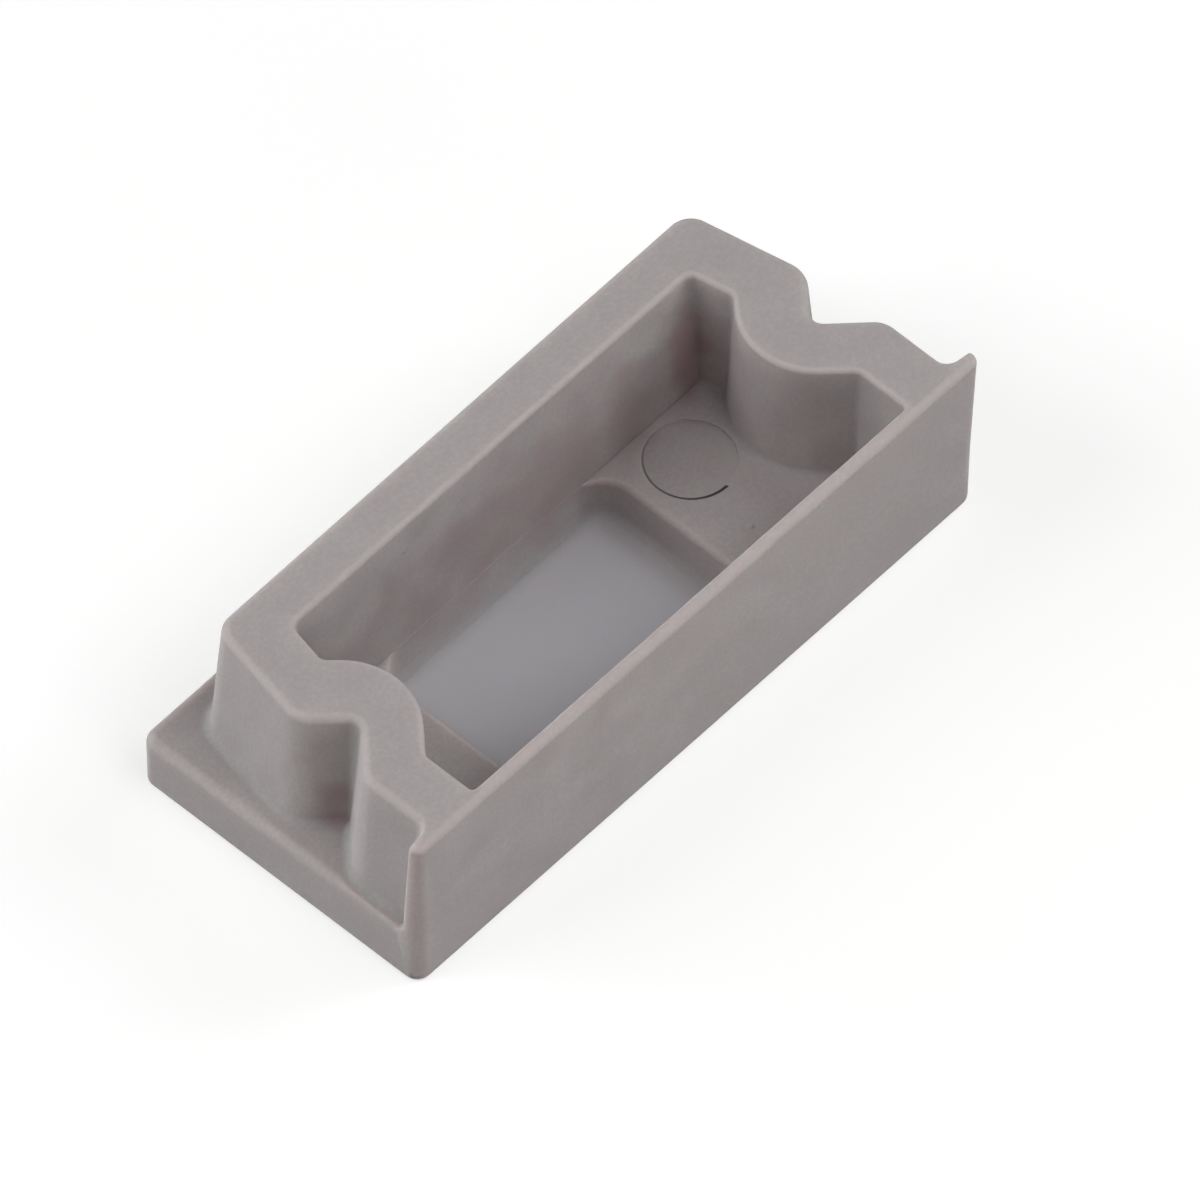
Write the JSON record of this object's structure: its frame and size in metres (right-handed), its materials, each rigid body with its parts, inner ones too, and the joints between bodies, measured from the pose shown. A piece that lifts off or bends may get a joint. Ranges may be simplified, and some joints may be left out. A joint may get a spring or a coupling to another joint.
{
  "type": "profile end cap",
  "caption": "Moulded end cap for a shallow channel profile: a flat plate carrying a hollow plug with V-notched ends and a thin front wall as long as the plate.",
  "frame": {"origin": "middle of the outer face, which the cap lies on", "axes": "+X along the length, across the channel; -Y towards the thin front wall; +Z the way the plug enters the channel"},
  "size_m": [0.0172, 0.008, 0.005],
  "materials": {
    "body": "fine matte"
  },
  "bodies": {
    "root": {"end_cap": "body"}
  },
  "joints": []
}
